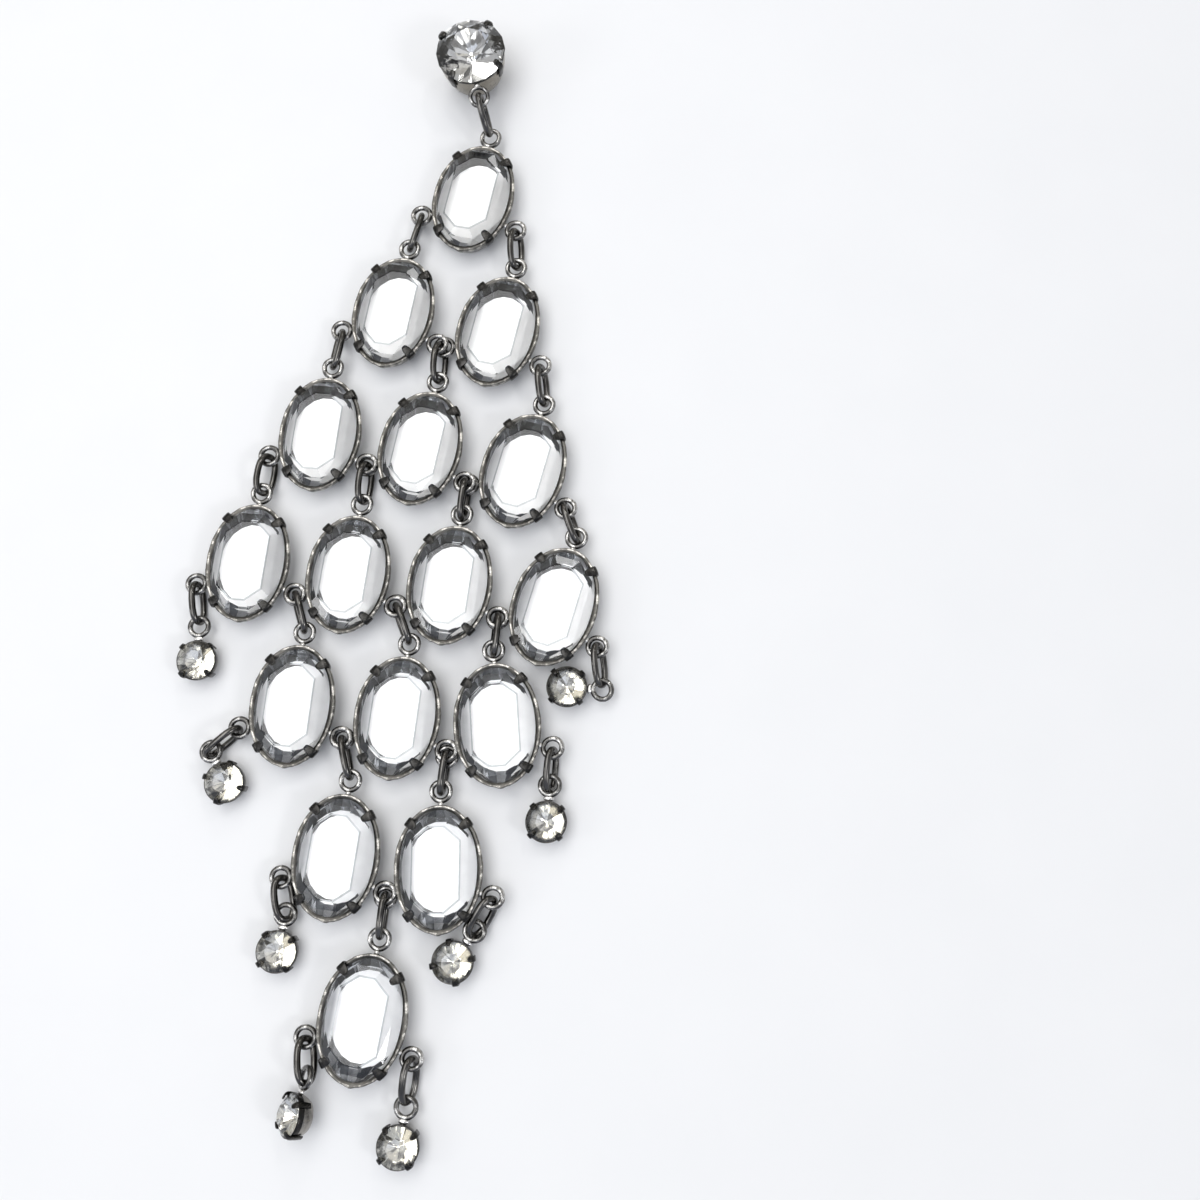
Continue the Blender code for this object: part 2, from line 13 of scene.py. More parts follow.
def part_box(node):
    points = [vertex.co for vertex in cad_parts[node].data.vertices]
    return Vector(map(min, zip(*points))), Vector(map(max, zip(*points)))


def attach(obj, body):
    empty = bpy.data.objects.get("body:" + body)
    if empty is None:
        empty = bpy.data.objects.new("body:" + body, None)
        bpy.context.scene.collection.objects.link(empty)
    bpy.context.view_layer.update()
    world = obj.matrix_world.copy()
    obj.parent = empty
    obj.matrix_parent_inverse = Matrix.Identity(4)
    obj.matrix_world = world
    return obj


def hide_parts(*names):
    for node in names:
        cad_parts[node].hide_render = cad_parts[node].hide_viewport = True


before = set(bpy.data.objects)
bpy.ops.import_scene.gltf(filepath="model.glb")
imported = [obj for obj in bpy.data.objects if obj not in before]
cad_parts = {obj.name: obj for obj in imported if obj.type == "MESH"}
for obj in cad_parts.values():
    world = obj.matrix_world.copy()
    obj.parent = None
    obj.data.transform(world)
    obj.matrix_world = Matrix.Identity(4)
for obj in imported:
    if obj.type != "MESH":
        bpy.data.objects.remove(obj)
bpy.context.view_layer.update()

# Sizes that the model uses too, in millimetres. The stone is its half width and half length, a link its
# width, length and wire, the stud's loop its turn and droop in degrees, and the drop's loop its distance
# and height.

STONE = (5.5, 8.0)
STONE_FLOOR = 0.2
STONE_TOP = 4.2
GIRDLE = (2.3, 2.5)
WALL_OUT = 0.38
LOOP_RADIUS = 1.275
LOOP_WIRE = 0.3
LOOP_DRAWN = 0.37
LOOP_HEIGHT = 1.8
LOOP_REACH = 1.875
SIDE_LOOP = 22
LINK = (3.5, 6.3, 0.8)
LINK_ROUNDNESS = 2.5
LINK_DRAWN = LINK[2] / 2 + 0.06
STUD_BASE = 1.2
STUD_RADIUS = 5.18
STUD_LOOP = (10, 25)
DROP_RADIUS = 2.85
DROP_LOOP = (4.825, 1.7)

# The lower rows' round drops: row, side (-1 is -X), the link's turn, reach and roll, and the drop's hang
# and facing, in degrees as the model has them.

DROPS = (
    (4, -1, 7, 0.82, 76, 1, 0),
    (4, 1, 6, 0.70, 65, -95, 0),
    (5, -1, -50, 0.29, 78, 28, 0),
    (5, 1, -5, 0.32, 70, -5, 0),
    (6, -1, 10, 0.26, 46, -10, 0),
    (6, 1, -30, 0.32, 52, -35, 0),
    (7, -1, 6, 0.29, 54, -15, 50),
    (7, 1, -7, 0.82, 63, -10, 0),
)
OVALS = 16
ROW_ENDS = {4: (7, 10), 5: (11, 13), 6: (14, 15), 7: (16, 16)}

# How far a link can hold two loops apart, pulled and pushed, with the model's gap

LINK_GAP = 0.05
JOIN_REACH = 0.08
TAUT_HALF = LINK[1] / 2 - LINK[2] + LOOP_RADIUS - LOOP_WIRE
TAUT_SPAN = 2 * (TAUT_HALF - LINK_GAP)
SLACK_SPAN = LINK[1] - 2 * (LOOP_RADIUS - LOOP_WIRE)

# The drop's outline as radii and heights, on which it rests where it is turned

DROP_OUTLINE = ((0, 0), (2.1, 0), (DROP_RADIUS, 1.04), (DROP_RADIUS, 2.6), (2.55, 2.6), (1.43, 3.6),
                (0, 3.6))
UP = Vector((0, 0, 1))


# Camera, as the photograph has it: metres from the stud, and its pitch, yaw and roll in degrees

CAMERA_AT = (0.0276, -0.1119, 0.1643)
CAMERA_ANGLES = (-10.61, 3.25, -0.28)


def stud_place():
    """The stud's middle on the floor, in metres."""
    low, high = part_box("stud_stone")
    return Vector(((low[0] + high[0]) / 2, (low[1] + high[1]) / 2, 0))


def add_camera():
    data = bpy.data.cameras.new("camera")
    data.lens = 36
    data.sensor_width = 36
    data.clip_start = 0.01
    data.clip_end = 10
    camera = bpy.data.objects.new("camera", data)
    bpy.context.scene.collection.objects.link(camera)
    pitch, yaw, roll = (math.radians(a) for a in CAMERA_ANGLES)
    turn = (Matrix.Rotation(-roll, 3, "Z") @ Matrix.Rotation(pitch, 3, "X")
            @ Matrix.Rotation(-yaw, 3, "Y"))
    camera.matrix_world = Matrix.Translation(stud_place() + Vector(CAMERA_AT)) @ turn.inverted().to_4x4()
    bpy.context.scene.camera = camera


# Poses, read from the model's own pieces

def node_points(name):
    """The corners of a node of the model, in millimetres, each once."""
    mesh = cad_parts[name].data
    points = np.empty(len(mesh.vertices) * 3)
    mesh.vertices.foreach_get("co", points)
    return np.unique(np.round(points.reshape(-1, 3) * 1000, 3), axis=0)


def node_pose(name, above):
    """Where a node lies, from its longest way (Y), its next (X) and its thinnest (Z).

    above is the height of its middle over its own origin, in millimetres.
    """
    points = node_points(name)
    centre = points.mean(0)
    ways = np.linalg.eigh(np.cov((points - centre).T))[1]
    thin, across, along = ways[:, 0], ways[:, 1], ways[:, 2]
    along = along if along[1] > 0 else -along
    thin = thin if thin[2] > 0 else -thin
    across = np.cross(along, thin)
    axes = np.stack([across, along, thin], axis=1)
    seen = (points - centre) @ axes
    middle = centre + axes @ ((seen.min(0) + seen.max(0)) / 2) - thin * above
    return Matrix.Translation(Vector(middle)) @ Matrix(axes.tolist()).to_4x4()


def edge_point(angle, off=0.0):
    """A point off outside the oval frame's edge, and the way out from it."""
    angle = math.radians(angle)
    half = (STONE[0] + WALL_OUT, STONE[1] + WALL_OUT)
    edge = Vector((half[0] * math.cos(angle), half[1] * math.sin(angle), 0))
    out = Vector((math.cos(angle) / half[0], math.sin(angle) / half[1], 0)).normalized()
    return edge + out * off, out


def oval_loop(angle):
    """The middle of an oval frame's loop."""
    return edge_point(angle, LOOP_REACH)[0] + UP * LOOP_HEIGHT


def way(turn):
    """The way down the earring, turned by so many degrees."""
    return Vector((math.sin(math.radians(turn)), -math.cos(math.radians(turn)), 0))


def flat_frame(down, roll):
    """Axes of a piece that hangs towards down, rolled about its own length."""
    along = -down.normalized()
    across = along.cross(UP).normalized()
    axes = Matrix((across, along, across.cross(along))).transposed().to_4x4()
    return axes @ Matrix.Rotation(math.radians(roll), 4, "Y")


def drop_poses(turn, reach, roll, hang, facing, start):
    """Where a round drop and its link lie, worked out as the model does."""
    axes = flat_frame(way(hang), -facing)
    loop = axes @ Vector((0, DROP_LOOP[0], DROP_LOOP[1]))
    tilt = math.radians(facing)
    rest = max(r * math.sin(tilt) - z * math.cos(tilt) for r, z in DROP_OUTLINE)
    height = loop.z + rest
    span = SLACK_SPAN + (TAUT_SPAN - SLACK_SPAN) * reach
    level = math.sqrt(span ** 2 - (start.z - height) ** 2)
    place = start + way(turn) * level
    place.z = height
    down = (place - start).normalized()
    pulled = TAUT_HALF + JOIN_REACH
    pushed = LINK[1] / 2 - LOOP_RADIUS + LOOP_WIRE - JOIN_REACH
    from_loop = pulled if (place - start).length - pulled > pushed else pushed
    link = Matrix.Translation(place - down * from_loop) @ flat_frame(down, roll)
    return Matrix.Translation(place - loop) @ axes, link


# Mesh tools

FLAT_ANGLE = 1.5
SHARP_ANGLE = 50
LOOP_STEPS = 36
LOOP_SIDES = 12
BALL_SIDES = 14


def finish_mesh(name, shape, sharp=SHARP_ANGLE):
    """The shape as a mesh in metres, smooth up to the sharp angle, or faceted where that is None."""
    bmesh.ops.recalc_face_normals(shape, faces=shape.faces)
    shape.transform(Matrix.Scale(0.001, 4))
    mesh = bpy.data.meshes.new(name)
    shape.to_mesh(mesh)
    shape.free()
    if sharp is None:
        return mesh
    mesh.shade_smooth()
    mesh.set_sharp_from_angle(angle=math.radians(sharp))
    return mesh


def make_hull(shape):
    """Close the points into their hull, with each flat facet whole."""
    hull = bmesh.ops.convex_hull(shape, input=shape.verts)
    loose = [v for v in hull["geom_interior"] if isinstance(v, bmesh.types.BMVert)]
    bmesh.ops.delete(shape, geom=loose, context="VERTS")
    bmesh.ops.dissolve_limit(shape, angle_limit=math.radians(FLAT_ANGLE),
                             verts=shape.verts, edges=shape.edges)


def add_rings(shape, rings, closed, material=0):
    """Skin between rings of points.

    closed joins the last ring to the first, else both ends are capped, and the two caps come first.
    """
    made = [[shape.verts.new(p) for p in ring] for ring in rings]
    count = len(made[0])
    pairs = list(zip(made, made[1:]))
    if closed:
        pairs.append((made[-1], made[0]))
    faces = [] if closed else [shape.faces.new(made[0]), shape.faces.new(made[-1])]
    for one, other in pairs:
        for i in range(count):
            faces.append(shape.faces.new((one[i - 1], one[i], other[i], other[i - 1])))
    for face in faces:
        face.material_index = material
    return faces


def add_tube(shape, points, radius, sides, material=0, flat=UP):
    """A round wire that goes round the points and back to the first. flat is the way up from its plane."""
    count = len(points)
    rings = []
    for i, point in enumerate(points):
        along = (points[(i + 1) % count] - points[i - 1]).normalized()
        side = along.cross(flat).normalized()
        top = side.cross(along).normalized()
        rings.append([point + (side * math.cos(a) + top * math.sin(a)) * radius
                      for a in (2 * math.pi * k / sides for k in range(sides))])
    return add_rings(shape, rings, True, material)


def add_loop(shape, place, turn=None, material=0, wire=LOOP_DRAWN):
    """A wire loop, flat round a place, with a slight unevenness of hand-made wire."""
    points = []
    for i in range(LOOP_STEPS):
        a = 2 * math.pi * i / LOOP_STEPS
        radius = LOOP_RADIUS * (1 + 0.012 * math.sin(2 * a + 1) + 0.008 * math.sin(3 * a))
        point = Vector((math.cos(a) * radius, math.sin(a) * radius, 0))
        points.append(place + (turn @ point if turn else point))
    flat = turn @ UP if turn else UP
    return add_tube(shape, points, wire, LOOP_SIDES, material, flat)


def add_ball(shape, place, size, axes=None, material=0):
    """A rounded blob, as a soldered joint leaves."""
    made = bmesh.ops.create_uvsphere(shape, u_segments=BALL_SIDES, v_segments=BALL_SIDES // 2 + 2, radius=1)
    turn = axes.to_4x4() if axes else Matrix()
    matrix = Matrix.Translation(place) @ turn @ Matrix.Diagonal((*size, 1))
    bmesh.ops.transform(shape, matrix=matrix, verts=made["verts"])
    for face in {f for v in made["verts"] for f in v.link_faces}:
        face.material_index = material


def add_strap(shape, path, widths, thick, axes, place, material=0, sides=12):
    """A flat strip bent in its own X-Z plane, with rounded edges and tip."""
    rings = []
    count = len(path)
    for i, (x, z) in enumerate(path):
        px, pz = path[max(i - 1, 0)]
        nx, nz = path[min(i + 1, count - 1)]
        along = Vector((nx - px, 0, nz - pz)).normalized()
        top = Vector((-along.z, 0, along.x))
        half = thick * (0.5 if i < count - 1 else 0.28)
        ring = []
        for k in range(sides):
            a = 2 * math.pi * k / sides
            y = math.copysign(abs(math.cos(a)) ** 0.5, math.cos(a)) * widths[i] / 2
            t = math.copysign(abs(math.sin(a)) ** 0.6, math.sin(a)) * half
            point = Vector((x, 0, z)) + top * t + Vector((0, y, 0))
            ring.append(place + axes @ point)
        rings.append(ring)
    return add_rings(shape, rings, False, material)


OUTER_WALL = 0.2


def oval_ring(off, height, count, wave=0.0):
    """Points of an oval that lies off outside the stone's edge, unevenly as a cast wall does.

    The outer wall is thicker at the sides, and has a small lump at its lower end.
    """
    ring = []
    for i in range(count):
        a = 2 * math.pi * i / count
        out = Vector((math.cos(a) / STONE[0], math.sin(a) / STONE[1], 0)).normalized()
        shift = off + wave * (math.sin(9 * a + 2) + 0.7 * math.sin(23 * a) + 0.5 * math.sin(41 * a + 1))
        if off > OUTER_WALL:
            shift += 0.12 * math.cos(a) ** 2 + 0.14 * math.exp(-((a - 1.5 * math.pi) / 0.09) ** 2)
        ring.append(Vector((STONE[0] * math.cos(a), STONE[1] * math.sin(a), height)) + out * shift)
    return ring


# Oval stones: an octagon is its half width, the half width of its ends, and the same along its length

TABLE = (3.12, 1.0, 5.45, 3.7)
TABLE_EDGE = (3.34, 1.14, 5.68, 3.86, 4.13)
CROWN_STEP = (4.2, 1.8, 6.8, 4.6, 3.62)
BASE = (0.80, 0.70)
FACETS = 20
# Painted glints and shade of the side facets round the stone: 0 bright, 1 grey, 2 dark.
SIDE_PAINTED_FACETS = (0, 1, 0, 1, 2, 2, 1, 2, 0, 1, 1, 2, 1, 0, 2, 1, 2, 1, 0, 1,
              0, 1, 2, 1, 2, 2, 0, 1, 0, 2, 0, 0, 2, 0, 1, 2, 2, 1, 0, 1)


def oval_stone():
    """A cut oval: octagon table with a dark painted line at its edge, crown, thin girdle, side facets and a
    flat base.

    Materials: 0 glass, 1 the base, a pale mirror that throws back most of the light and stands in for the
    lit floor seen through the stone, 2 table edge, tinted dark as painted shade, 3 to 5 side facets painted
    from bright to dark, as painted glints and painted shade of the metal behind them.
    """
    shape = bmesh.new()
    low, high = GIRDLE

    def put(points, z):
        for x, y in points:
            shape.verts.new((x, y, z))

    def octagon(x, x_in, y, y_in):
        return [(sx * a, sy * b) for a, b in ((x, y_in), (x_in, y)) for sx in (-1, 1) for sy in (-1, 1)]

    def oval(shares, count, turn):
        return [(STONE[0] * shares[0] * math.cos(a), STONE[1] * shares[1] * math.sin(a))
                for a in (2 * math.pi * (i + turn) / count for i in range(count))]

    put(octagon(*TABLE), STONE_TOP)
    put(octagon(*TABLE_EDGE[:4]), TABLE_EDGE[4])
    put(octagon(*CROWN_STEP[:4]), CROWN_STEP[4])
    put(oval((1, 1), FACETS * 2, 0.5), high)
    put(oval((1, 1), FACETS * 2, 0.5), low)
    put(oval(BASE, FACETS, 0.5), STONE_FLOOR)
    make_hull(shape)
    for face in shape.faces:
        height = face.calc_center_median().z
        if height < STONE_FLOOR + 0.01:
            face.material_index = 1
        elif height < low - 0.01:
            middle = face.calc_center_median()
            turn = math.atan2(middle.y / STONE[1], middle.x / STONE[0]) / (2 * math.pi)
            face.material_index = 3 + SIDE_PAINTED_FACETS[int(turn * len(SIDE_PAINTED_FACETS)) % len(SIDE_PAINTED_FACETS)]
        elif TABLE_EDGE[4] < height < STONE_TOP - 0.001:
            face.material_index = 2
    return finish_mesh("oval_stone", shape, None)


# Oval settings: rings of the frame as offsets from the stone's edge and heights, from the foot outwards

FRAME_RINGS = (
    (-0.56, 0.0), (-0.50, 0.08), (-0.30, 0.6), (0.08, 1.5),
    (WALL_OUT - 0.05, 2.0), (WALL_OUT, 2.25), (WALL_OUT + 0.03, 2.5), (WALL_OUT + 0.03, 2.68),
    (WALL_OUT - 0.02, 2.79), (WALL_OUT - 0.12, 2.82), (0.12, 2.78), (-0.06, 2.70), (-0.22, 2.66),
    (-0.27, 2.60), (-0.20, 2.56), (0.06, 2.50), (0.08, 2.3), (0.02, 2.15),
    (-0.35, 1.6), (-0.62, 1.1), (-0.75, 0.6), (-0.80, 0.1), (-0.76, 0.0),
)
RIM_FROM = 10
INNER_FROM = 15
FRAME_WAVE = 0.024
PRONG = 47
PRONG_PATH = ((0.06, 1.2), (0.34, 1.9), (0.56, 2.4), (0.62, 2.8), (0.58, 3.08), (0.38, 3.24),
              (0.05, 3.28), (-0.30, 3.34), (-0.62, 3.42), (-0.84, 3.46), (-0.96, 3.46))
PRONG_THICK = 0.38
PRONG_WIDTHS = (1.25, 1.32, 1.34, 1.34, 1.34, 1.32, 1.26, 1.15, 1.0, 0.8, 0.5)


def oval_setting():
    """An open-backed frame with a rolled rim and a ledge, four prongs and three soldered loops.

    Materials: 0 outer wall and 1 loops, both with tarnish and painted highlight specks, 2 rim and 3 prongs,
    both darkened as painted shade, 4 inner wall, 5 soldered joints, paler as a painted highlight.
    """
    shape = bmesh.new()
    around = 120
    rings = [oval_ring(off, z, around, FRAME_WAVE if z > 1 and off > OUTER_WALL else 0)
             for off, z in FRAME_RINGS]
    for n, face in enumerate(add_rings(shape, rings, True)):
        ring = n // around
        if RIM_FROM <= ring < INNER_FROM:
            face.material_index = 2
        elif ring >= INNER_FROM:
            face.material_index = 4
    for angle in (90, -SIDE_LOOP, 180 + SIDE_LOOP):
        add_loop(shape, oval_loop(angle), material=1)
        edge, ahead = edge_point(angle)
        axes = ahead.to_track_quat("X", "Z").to_matrix()
        add_ball(shape, edge + ahead * 0.12 + UP * LOOP_HEIGHT, (0.46, 0.46, 0.36), axes, 5)
    for angle in (PRONG, 180 - PRONG, 180 + PRONG, -PRONG):
        edge, ahead = edge_point(angle, -WALL_OUT)
        axes = ahead.to_track_quat("X", "Z").to_matrix()
        add_strap(shape, PRONG_PATH, PRONG_WIDTHS, PRONG_THICK, axes, edge, 3)
    return finish_mesh("oval_setting", shape)


# Round stones: the foil of each back facet, by its place round the stone, bright or grey as painted glints
# and painted shade. Facets past OUTER_FROM of the radius take the foil of OUTER_SHIFT places further on.

OUTER_FROM = 0.62
OUTER_SHIFT = 5
STUD_PAINTED_FACETS = (0, 2, 0, 0, 1, 0, 2, 0, 0, 1, 0, 0, 2, 0, 1, 0)
DROP_PAINTED_FACETS = (0, 0, 2, 0, 0, 1, 0, 2, 0, 0, 2, 0, 0, 1, 0, 2)


def round_stone(name, radius, girdle, top, bottom, table, painted_facets, turn=0.0, fine=True):
    """A foiled round brilliant, of glass with one of the foils behind each back facet, as painted glints
    and shade.

    girdle is its lower and upper height, table the share of the radius, and fine adds the star facets.
    """
    shape = bmesh.new()
    low, high = girdle

    def ring(share, z, count, step):
        for i in range(count):
            a = 2 * math.pi * (i + step) / count + turn
            shape.verts.new((radius * share * math.cos(a), radius * share * math.sin(a), z))

    ring(table, top, 8, 0)
    if fine:
        ring((1 + table) / 2 + 0.03, high + (top - high) * 0.52, 8, 0.5)
        ring(0.50, low + (bottom - low) * 0.54, 8, 0)
    count = 16
    ring(1, high, count, 0)
    ring(1, low, count, 0)
    ring(0.05, bottom, 8, 0)
    make_hull(shape)
    bmesh.ops.recalc_face_normals(shape, faces=shape.faces)
    for face in shape.faces:
        middle = face.calc_center_median()
        if middle.z < low - 0.01:
            sector = math.atan2(middle.y, middle.x) / (2 * math.pi) * len(painted_facets)
            if middle.xy.length > radius * OUTER_FROM:
                sector += OUTER_SHIFT
            face.material_index = 1 + painted_facets[int(sector) % len(painted_facets)]
    return finish_mesh(name, shape, None)


def turned_rings(profile, sides):
    """Rings of a turned piece, from radii and heights."""
    turns = [2 * math.pi * i / sides for i in range(sides)]
    return [[Vector((r * math.cos(a), r * math.sin(a), z)) for a in turns] for r, z in profile]


# Round settings: a cup as radii and heights, the first and last ring of its rim, and its prongs

STUD_CUP = ((0.05, 0.0), (3.0, 0.0), (3.35, 0.06), (3.65, 0.3), (4.05, 1.0), (4.45, 2.2),
            (4.72, 3.4), (4.88, 4.5), (4.96, 5.2), (5.02, 5.5), (5.02, 5.60), (4.94, 5.64),
            (4.84, 5.60), (4.82, 5.4), (4.5, 4.7), (3.2, 3.0), (0.05, 2.0))
STUD_RIM = (8, 12)
STUD_LOOP_HEIGHT = 4.6
STUD_PRONG = 58
STUD_PRONG_PATH = ((-0.12, 3.9), (0.02, 4.8), (0.16, 5.4), (0.20, 5.9), (0.10, 6.2), (-0.15, 6.38),
                   (-0.45, 6.55), (-0.70, 6.66), (-0.86, 6.70))
STUD_PRONG_WIDTHS = (0.9, 0.95, 0.95, 0.95, 0.95, 0.95, 0.9, 0.8, 0.5)

DROP_CUP = ((0.05, 0.0), (1.8, 0.0), (2.0, 0.08), (2.25, 0.4), (2.6, 1.0), (2.76, 1.7), (2.80, 2.2),
            (2.80, 2.42), (2.76, 2.48), (2.66, 2.48), (2.60, 2.3), (2.56, 2.1), (1.6, 1.1), (0.05, 0.7))
DROP_RIM = (5, 9)
DROP_PRONG = 45
DROP_PRONG_PATH = ((0.0, 0.9), (0.10, 1.6), (0.16, 2.3), (0.13, 2.65), (0.0, 2.88), (-0.2, 3.0),
                   (-0.42, 3.12), (-0.56, 3.18), (-0.64, 3.19))
DROP_PRONG_WIDTHS = (0.75, 0.8, 0.8, 0.8, 0.78, 0.72, 0.62, 0.45, 0.25)
PRONG_SINK = 0.05


def add_cup(shape, profile, rim, sides):
    """A turned cup whose rim rings, from the first to the last, take the third material."""
    caps = 2
    for n, face in enumerate(add_rings(shape, turned_rings(profile, sides), False)):
        if rim[0] <= (n - caps) // sides <= rim[1]:
            face.material_index = 2


def add_four_prongs(shape, radius, first, path, widths, thick):
    """Prongs at quarter turns from the first angle, in the third material."""
    for quarter in range(4):
        a = math.radians(first + 90 * quarter)
        ahead = Vector((math.cos(a), math.sin(a), 0))
        axes = ahead.to_track_quat("X", "Z").to_matrix()
        add_strap(shape, path, widths, thick, axes, ahead * (radius - PRONG_SINK), 2)


def stud_setting():
    """The stud's deep cup, its loop at the lower side, and four prongs. Materials as in drop_setting."""
    shape = bmesh.new()
    add_cup(shape, STUD_CUP, STUD_RIM, 96)
    turn, droop = STUD_LOOP
    ahead = way(turn)
    at = ahead * (STUD_RADIUS + LOOP_RADIUS + LOOP_WIRE) + UP * STUD_LOOP_HEIGHT
    heading = Matrix.Rotation(math.radians(turn), 3, "Z") @ Matrix.Rotation(math.radians(droop), 3, "X")
    add_loop(shape, at, heading, 1, wire=0.31)
    root = at + heading @ Vector((0, LOOP_RADIUS, 0))
    axes = ahead.to_track_quat("X", "Z").to_matrix()
    lump = root + ahead * (STUD_RADIUS - 0.1 - root.xy.length) * 0.5
    add_ball(shape, lump, (0.5, 0.5, 0.36), axes, 3)
    add_four_prongs(shape, STUD_RADIUS, STUD_PRONG, STUD_PRONG_PATH, STUD_PRONG_WIDTHS, 0.32)
    return finish_mesh("stud_setting", shape)


def drop_setting():
    """A drop's shallow cup. Materials: 0 cup, 1 loop, 2 rim and prongs in painted shade, 3 soldered joint
    in painted highlight.
    """
    shape = bmesh.new()
    add_cup(shape, DROP_CUP, DROP_RIM, 64)
    at = Vector((0, DROP_LOOP[0], DROP_LOOP[1]))
    add_loop(shape, at, material=1)
    add_ball(shape, Vector((0, DROP_RADIUS + 0.25, DROP_LOOP[1] + 0.05)), (0.75, 0.42, 0.36), None, 3)
    add_four_prongs(shape, DROP_RADIUS, DROP_PRONG, DROP_PRONG_PATH, DROP_PRONG_WIDTHS, 0.26)
    return finish_mesh("drop_setting", shape)


def wire_link():
    """An oval link of round wire."""
    shape = bmesh.new()
    steps = 56
    power = 2 / LINK_ROUNDNESS
    half = ((LINK[0] - LINK[2]) / 2, (LINK[1] - LINK[2]) / 2)
    points = []
    for i in range(steps):
        a = 2 * math.pi * (i + 0.5) / steps
        points.append(Vector((math.copysign(abs(math.cos(a)) ** power, math.cos(a)) * half[0],
                              math.copysign(abs(math.sin(a)) ** power, math.sin(a)) * half[1], 0)))
    add_tube(shape, points, LINK_DRAWN, 14)
    return finish_mesh("wire_link", shape)


CLIP_SHEET = 0.4
CLIP_PATH = ((4.9, 0.90), (3.0, 0.90), (1.0, 0.90), (-0.8, 0.90), (-1.4, 0.90), (-1.72, 0.82),
             (-1.88, 0.55), (-1.72, 0.28), (-1.4, 0.20), (-0.8, 0.20), (1.0, 0.20), (3.0, 0.20),
             (4.6, 0.20), (4.9, 0.21))


def stud_clip():
    """The plain closed clip behind the stud, bent from strip with softened edges."""
    shape = bmesh.new()
    widths = [4.8] + [5.0] * 11 + [4.7, 4.0]
    axes = Matrix.Rotation(math.radians(90), 3, "Z")
    add_strap(shape, CLIP_PATH, widths, CLIP_SHEET, axes, Vector((0, 0, 0)), sides=24)
    return finish_mesh("stud_clip", shape)


# Materials

# The Mix node's sockets for colours

MIX_FIRST, MIX_SECOND, MIX_RESULT = 6, 7, 2


def new_material(name):
    material = bpy.data.materials.new(name)
    material.use_nodes = True
    return material, material.node_tree, material.node_tree.nodes["Principled BSDF"]


def node(tree, kind, **values):
    made = tree.nodes.new(kind)
    for key, value in values.items():
        if key in made.inputs.keys():
            made.inputs[key].default_value = value
        else:
            setattr(made, key, value)
    return made


def noise(tree, scale, detail, roughness=0.5):
    """Noise that is fixed to the piece. scale is in spots for each metre."""
    at = node(tree, "ShaderNodeTexCoord")
    made = node(tree, "ShaderNodeTexNoise", Scale=float(scale), Detail=detail, Roughness=roughness)
    tree.links.new(at.outputs["Object"], made.inputs["Vector"])
    return made.outputs["Fac"]


def map_range(tree, value, low, high, to_low=0.0, to_high=1.0):
    made = node(tree, "ShaderNodeMapRange")
    for key, number in (("From Min", low), ("From Max", high), ("To Min", to_low), ("To Max", to_high)):
        made.inputs[key].default_value = number
    tree.links.new(value, made.inputs["Value"])
    return made.outputs["Result"]


def two_colours(tree, share, first, second, target):
    """Colour target between first and second, by the share."""
    made = node(tree, "ShaderNodeMix", data_type="RGBA")
    made.inputs[MIX_FIRST].default_value = (*first, 1)
    made.inputs[MIX_SECOND].default_value = (*second, 1)
    tree.links.new(share, made.inputs["Factor"])
    tree.links.new(made.outputs[MIX_RESULT], target)


def metal(name, bright, dark, rough, scale, tarnish_and_glint_range, bump):
    """Worn plated metal: cloudy tarnish, finer specks, varied gloss and faint dents. In the frame and loop
    metals the pale patches of the cloud are painted highlights as well as tarnish.

    rough is the roughness where it is glossy and dull, and the range of tarnish and painted glints is where
    the noise turns dark to bright.
    """
    material, tree, shader = new_material(name)
    tarnish_and_glints = noise(tree, scale, 5.0, 0.6)
    fine = noise(tree, scale * 7, 4.0, 0.7)
    two_colours(tree, map_range(tree, tarnish_and_glints, *tarnish_and_glint_range), dark, bright, shader.inputs["Base Color"])
    tree.links.new(map_range(tree, fine, 0.3, 0.7, rough[1], rough[0]), shader.inputs["Roughness"])
    dents = node(tree, "ShaderNodeBump", Strength=bump, Distance=0.00004)
    tree.links.new(fine, dents.inputs["Height"])
    tree.links.new(dents.outputs["Normal"], shader.inputs["Normal"])
    shader.inputs["Metallic"].default_value = 1.0
    return material


def glass(name, colour):
    """Clear glass with a faint haze in specks."""
    material, tree, shader = new_material(name)
    haze = map_range(tree, noise(tree, 900, 3.0, 0.6), 0.62, 0.8, 0.0, 0.08)
    tree.links.new(haze, shader.inputs["Roughness"])
    shader.inputs["Base Color"].default_value = (*colour, 1)
    shader.inputs["Transmission Weight"].default_value = 1.0
    shader.inputs["IOR"].default_value = 1.62
    return material


def foil(name, colour, rough, share=1.0):
    """A mirror coat behind glass. The share that it leaves is clear."""
    material, tree, shader = new_material(name)
    worn = noise(tree, 700, 4.0)
    two_colours(tree, worn, [c * 0.82 for c in colour], colour, shader.inputs["Base Color"])
    shader.inputs["Metallic"].default_value = share
    shader.inputs["Transmission Weight"].default_value = 1.0
    shader.inputs["Roughness"].default_value = rough
    return material


# Metals: bright and dark colour, roughness, scale of the tarnish and painted glints, its range and the
# dents' strength. The rim and prongs are darker copies as painted shade, and the soldered joints a paler
# copy as a painted highlight.

